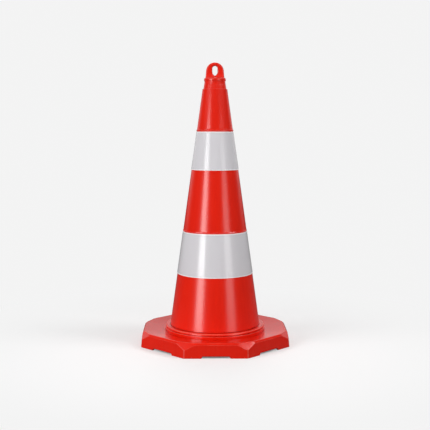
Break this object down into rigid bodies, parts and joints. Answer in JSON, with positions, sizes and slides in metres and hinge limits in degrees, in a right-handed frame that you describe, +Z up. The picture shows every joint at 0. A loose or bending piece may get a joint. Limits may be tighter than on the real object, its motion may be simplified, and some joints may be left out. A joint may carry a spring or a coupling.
{
  "type": "traffic cone",
  "caption": "Tall traffic cone on a weighted octagonal base, with white reflective sleeves and a lifting eye; the hollow cone lifts out of the base's collar.",
  "frame": {"origin": "middle of the footprint, on the ground under the eight feet", "axes": "+Z up the cone's axis to the lifting eye; the eye's hole runs along Y, and flats of the octagonal base face X and Y"},
  "size_m": [0.3932, 0.3932, 0.75],
  "materials": {
    "red_base": "glossy injection-moulded polyethylene, lightly scuffed",
    "red_cone": "glossy moulded polyethylene with faint flow and scuff marks",
    "red_cap": "satin injection-moulded polyethylene",
    "reflective_white": "retroreflective sleeve: satin film over a fine cell pattern, bright plain edges",
    "ballast_rubber": "matt recycled rubber crumb"
  },
  "bodies": {
    "base": {"base": "red_base", "ballast_ring": "ballast_rubber"},
    "cone": {"cone_body": "red_cone", "eyelet_cap": "red_cap", "upper_sleeve": "reflective_white", "lower_sleeve": "reflective_white"}
  },
  "joints": [
    {"name": "cone_lift", "type": "slide", "parent": "base", "child": "cone", "axis": [0, 0, 1], "range_m": [0, 0.05]}
  ]
}
